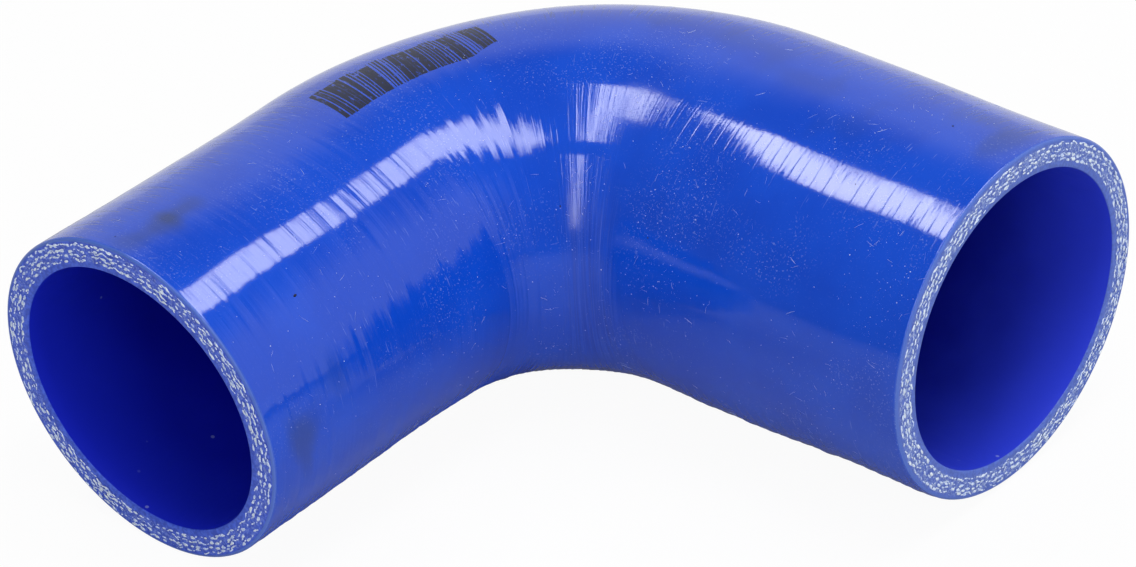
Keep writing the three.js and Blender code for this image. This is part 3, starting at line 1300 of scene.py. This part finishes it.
def lint_on_wall():
    tree, given, leave = new_geometry_tree("lint_on_wall", {
        "Density": "Float", "Least": "Float", "Most": "Float", "Flatness": "Float",
        "Rarity": "Float", "Seed": "Int", "Shape": "Object", "Material": "Material",
    })
    lint = add_node(tree, "GeometryNodeInputNamedAttribute", "lint", data_type="FLOAT")
    spots = add_node(tree, "GeometryNodeDistributePointsOnFaces", given["Geometry"], inputs={
        "Density": times(tree, lint.outputs[0], given["Density"]), "Seed": given["Seed"],
    })
    spin = add_node(tree, "ShaderNodeCombineXYZ", 0, 0, chance(
        tree, 0.0, 2 * math.pi, given["Seed"], 1))
    turn = add_node(tree, "FunctionNodeEulerToRotation", spin)
    turned = add_node(
        tree,
        "FunctionNodeRotateRotation",
        spots.outputs["Rotation"],
        turn,
        rotation_space="LOCAL",
    )
    rare = maths(tree, "POWER", chance(tree, 0.0, 1.0, given["Seed"], 2), given["Rarity"])
    spread = maths(tree, "SUBTRACT", given["Most"], given["Least"])
    size = summed(tree, given["Least"], (rare, spread))
    width = times(tree, size, chance(tree, *LINT_WIDTH, given["Seed"], 3))
    height = times(tree, size, given["Flatness"])
    scale = add_node(tree, "ShaderNodeCombineXYZ", size, width, height)
    shape = add_node(tree, "GeometryNodeObjectInfo", given["Shape"]).outputs["Geometry"]
    set_out(tree, spots, shape, turned, scale, given["Material"], leave)
    return tree


LINT_ON_WALL = lint_on_wall()
print("the lint tree has", len(LINT_ON_WALL.nodes), "nodes")

# %% Shapes of lint, one unit wide
FIBRE_STEPS = 6
FIBRE_TIP = 0.002


def shape_object(name, points, faces):
    mesh = bpy.data.meshes.new(name)
    mesh.from_pydata(points, [], faces)
    return bpy.data.objects.new(name, mesh)


def speck_shape():
    """A lens of two low cones with a hexagonal rim."""
    rim = [(0.5 * math.cos(k * math.pi / 3), 0.5 * math.sin(k * math.pi / 3), 0) for k in range(6)]
    upper = [(k, (k + 1) % 6, 6) for k in range(6)]
    lower = [((k + 1) % 6, k, 7) for k in range(6)]
    return shape_object("speck_shape", rim + [(0, 0, 0.5), (0, 0, -0.5)], upper + lower)


def fibre_shape(bend, thickness):
    """A three-sided fibre that follows an arc and lies on the wall."""
    points, faces = [], []
    for k in range(FIBRE_STEPS + 1):
        share = k / FIBRE_STEPS - 0.5
        middle = bend * (1 - 4 * share**2)
        taper = thickness * (1 - (2 * share) ** 4) + FIBRE_TIP
        for side in range(3):
            turn = side * 2 * math.pi / 3 + math.pi / 2
            points.append((share, middle + taper * math.cos(turn), taper * math.sin(turn)))
    for k in range(FIBRE_STEPS):
        for side in range(3):
            a, b = 3 * k + side, 3 * k + (side + 1) % 3
            faces.append((a, b, b + 3, a + 3))
    end = 3 * FIBRE_STEPS
    return shape_object("fibre_shape", points, faces + [(2, 1, 0), (end, end + 1, end + 2)])


SPECK = speck_shape()
STRAIGHT_FIBRE = fibre_shape(0.04, 0.021)
CURLED_FIBRE = fibre_shape(0.22, 0.022)
print("a fibre has", len(STRAIGHT_FIBRE.data.polygons), "faces")


# %% Finishes of lint and crumbs
LINT_DARK, LINT_PALE = (0.13, 0.23, 0.76), (0.64, 0.71, 0.95)
CRUMB_DARK, CRUMB_PALE = (0.004, 0.006, 0.03), (0.02, 0.02, 0.06)


def mixed_finish(name, roughness, dark, pale, scale, edges=None):
    """A plain finish whose colour changes from piece to piece, between edges if it has them."""
    material, tree, shader = new_finish(name, pale, roughness)
    shade = grain(tree, object_place(tree), scale, 1)
    if edges is not None:
        shade = eased(tree, shade, *edges)
    feed(tree, shader.inputs["Base Color"], blended(tree, shade, dark, pale))
    return material


LINT_FINISH = mixed_finish("pale_lint", 0.8, LINT_DARK, LINT_PALE, 300, (0.3, 0.7))
CRUMB_FINISH = mixed_finish("dark_crumbs", 0.7, CRUMB_DARK, CRUMB_PALE, 400)
print("lint finishes:", LINT_FINISH.name, "and", CRUMB_FINISH.name)


# %% Lint on the cover
def strew(name, density, least, most, flatness, rarity, seed, shape, material):
    """Lint over the wall. The density is for each square metre, and sizes are in mm."""
    return grow(name, wall_mesh, LINT_ON_WALL, {
        "Density": density, "Least": least * MM, "Most": most * MM, "Flatness": flatness,
        "Rarity": rarity, "Seed": seed, "Shape": shape, "Material": material,
    })


lint_specks = strew("lint_specks", 340000, 0.04, 0.26, 0.30, 4.6, 3, SPECK, LINT_FINISH)
lint_fibres = strew("lint_fibres", 42000, 0.25, 2.2, 0.8, 3.4, 11, STRAIGHT_FIBRE, LINT_FINISH)
lint_curls = strew("lint_curls", 11000, 0.25, 1.6, 0.8, 3.0, 23, CURLED_FIBRE, LINT_FINISH)
dark_crumbs = strew("dark_crumbs", 500, 0.18, 0.9, 0.35, 4.0, 31, SPECK, CRUMB_FINISH)

# %% [markdown]
# The studio is what gives a glossy hose its look. One soft box on the right draws the long
# highlight of the small leg. A narrow one on the left runs slantwise over the hose and draws
# the highlights of the large leg and of the bend, with a second box at its end. A tall weak
# strip in front draws the upright streak inside the bend. Two fill lamps light the sides, and
# reflections don't see them. Each lamp is given the brightness that its reflection needs, and
# its power follows from its size.

# %% Soft boxes
def soft_box(name, middle, size, turn, brightness, aim=None):
    """A lamp of a given brightness. Without an aim it hangs level, turned about the upright."""
    data = bpy.data.lights.new(name, "AREA")
    data.shape = "RECTANGLE"
    data.size, data.size_y = size
    data.energy = brightness * math.pi * size[0] * size[1]
    lamp = put_in_scene(name, data)
    lamp.location = middle
    lamp.rotation_euler = (0, 0, turn)
    if aim is not None:
        facing = (Vector(aim) - Vector(middle)).to_track_quat("-Z", "Y")
        lamp.rotation_euler = (facing @ Matrix.Rotation(turn, 3, "Z").to_quaternion()).to_euler()
    print(name, "gives", round(data.energy, 2), "W")
    return lamp


LAMP_HEIGHT = 0.90
LOW_ON_HOSE = (0.0, 0.0, 0.03)
soft_box("box_right", (0.190, 0.185, LAMP_HEIGHT), (0.27, 0.85), math.radians(15.5), 5.6)
soft_box("box_left_strip", (-0.205, -0.185, LAMP_HEIGHT), (0.080, 0.61), math.radians(30.5), 7.8)
soft_box("box_left_end", (-0.440, -0.085, LAMP_HEIGHT), (0.130, 0.32), math.radians(20), 8.2)
soft_box("strip_front", (0.27, -0.96, 0.70), (0.125, 1.00), math.radians(11), 5.2, (0.0, 0.0, 0.05))
fill_right = soft_box("fill_right", (1.15, -0.25, 0.45), (0.80, 0.80), 0.0, 2.5, LOW_ON_HOSE)
fill_front = soft_box("fill_front", (0.25, -1.25, 0.40), (0.90, 0.70), 0.0, 1.15, LOW_ON_HOSE)
for fill in (fill_right, fill_front):
    fill.visible_glossy = False

# %% [markdown]
# The floor is a plain pale sheet. Where the camera sees it, most of its white comes from the
# material itself, so that it stays white without more light on the hose. The rest is plain
# diffuse white, which keeps the hose's shadow. In a reflection the floor glows as well, as a
# painted reflection, pale behind the hose and dark in front of it, because the glossy underside
# shows it all along.

# %% Floor
FLOOR_REACH = 3.0
FLOOR_WHITE = (0.66, 0.66, 0.67)
FLOOR_GREY = (0.64, 0.64, 0.65)
PAPER_SCALE = 9
# the share of glow in the white, and how bright the glow is
SHARE_SEEN, GLOW_SEEN = 0.93, 1.02
SHARE_NEAR, GLOW_FRONT, GLOW_BACK = 0.45, 0.12, 0.80
FAR = (0.12, 0.80)
TO_THE_BACK = (-0.66, 0.75, 0.0)
BEHIND_HOSE = (0.06, 0.14)


def floor_glow(tree):
    """The share and the strength of the glow, for the camera and for reflections."""
    place = object_place(tree)
    distance = add_node(tree, "ShaderNodeVectorMath", place, operation="LENGTH")
    far = eased(tree, distance.outputs["Value"], *FAR)
    backward = add_node(tree, "ShaderNodeVectorMath", place, TO_THE_BACK, operation="DOT_PRODUCT")
    behind = eased(tree, backward.outputs["Value"], *BEHIND_HOSE)
    pale = maths(tree, "MAXIMUM", far, behind)
    # in reflections the floor glows, paler behind the hose: a painted reflection
    reflected_share = summed(tree, SHARE_NEAR, (pale, 1 - SHARE_NEAR))
    reflected_glow = summed(tree, GLOW_FRONT, (behind, GLOW_BACK - GLOW_FRONT))
    path = add_node(tree, "ShaderNodeLightPath").outputs
    seen = path["Is Camera Ray"]
    bounced = maths(tree, "MAXIMUM", path["Is Glossy Ray"], path["Is Transmission Ray"])
    share = summed(tree, times(tree, seen, SHARE_SEEN), (bounced, reflected_share))
    return share, summed(tree, times(tree, seen, GLOW_SEEN), (bounced, reflected_glow))


def floor_finish():
    material, tree, shader = new_finish("pale_floor", FLOOR_WHITE, 0.9)
    paper = grain(tree, object_place(tree), PAPER_SCALE, 2)
    feed(tree, shader.inputs["Base Color"], blended(tree, paper, FLOOR_GREY, FLOOR_WHITE))
    share, strength = floor_glow(tree)
    glow = add_node(tree, "ShaderNodeEmission", (1.0, 1.0, 1.0), strength)
    mixed = add_node(tree, "ShaderNodeMixShader", share, shader, glow)
    feed(tree, tree.nodes["Material Output"].inputs["Surface"], mixed)
    return material


def make_floor():
    reach = FLOOR_REACH
    corners = [(-reach, -reach, 0), (reach, -reach, 0), (reach, reach, 0), (-reach, reach, 0)]
    mesh = bpy.data.meshes.new("floor")
    mesh.from_pydata(corners, [], [(0, 1, 2, 3)])
    mesh.materials.append(floor_finish())
    floor = put_in_scene("floor", mesh)
    return floor


make_floor()
print("floor reaches", FLOOR_REACH, "m")

# %% [markdown]
# The world is the room. For light and for reflections it is dark in front and overhead, with a
# pale wall behind the hose up to some height. To the camera it is plain white, like the paper
# of a catalogue.

# %% World
TOWARDS_WALL = (0.0, 1.0, 0.0)
WALL_SIDES = (-0.25, 0.35)
WALL_TOP = (0.82, 0.58)
ROOM_DARK = 0.12
WALL_PALE = 0.62


def studio_world():
    world = bpy.data.worlds.new("studio")
    world.use_nodes = True
    tree = world.node_tree
    direction = add_node(tree, "ShaderNodeTexCoord").outputs["Generated"]
    facing = add_node(tree, "ShaderNodeVectorMath", direction, TOWARDS_WALL, operation="DOT_PRODUCT")
    behind = eased(tree, facing.outputs["Value"], *WALL_SIDES)
    height = add_node(tree, "ShaderNodeSeparateXYZ", direction).outputs[2]
    wall = times(tree, behind, eased(tree, height, *WALL_TOP))
    room = summed(tree, ROOM_DARK, (wall, WALL_PALE - ROOM_DARK))
    path = add_node(tree, "ShaderNodeLightPath").outputs
    feed_all(tree, tree.nodes["Background"], {
        "Color": (1.0, 1.0, 1.0),
        "Strength": maths(tree, "MAXIMUM", room, path["Is Camera Ray"]),
    })
    return world


bpy.context.scene.world = studio_world()
bpy.context.scene.view_settings.view_transform = "Standard"
print("the room is", ROOM_DARK, "and the wall behind", WALL_PALE)

# %% [markdown]
# Last, each piece is told what it belongs to. The hose doesn't move, so that all its pieces
# ride on the one body. The fine wall stands for the imported solid, which is hidden.

# %% Bodies
PIECES = (hose_wall, yarn_ends, crossing_yarn, lint_specks, lint_fibres, lint_curls, dark_crumbs)
for piece in PIECES:
    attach(piece, "root")
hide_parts("elbow_hose")
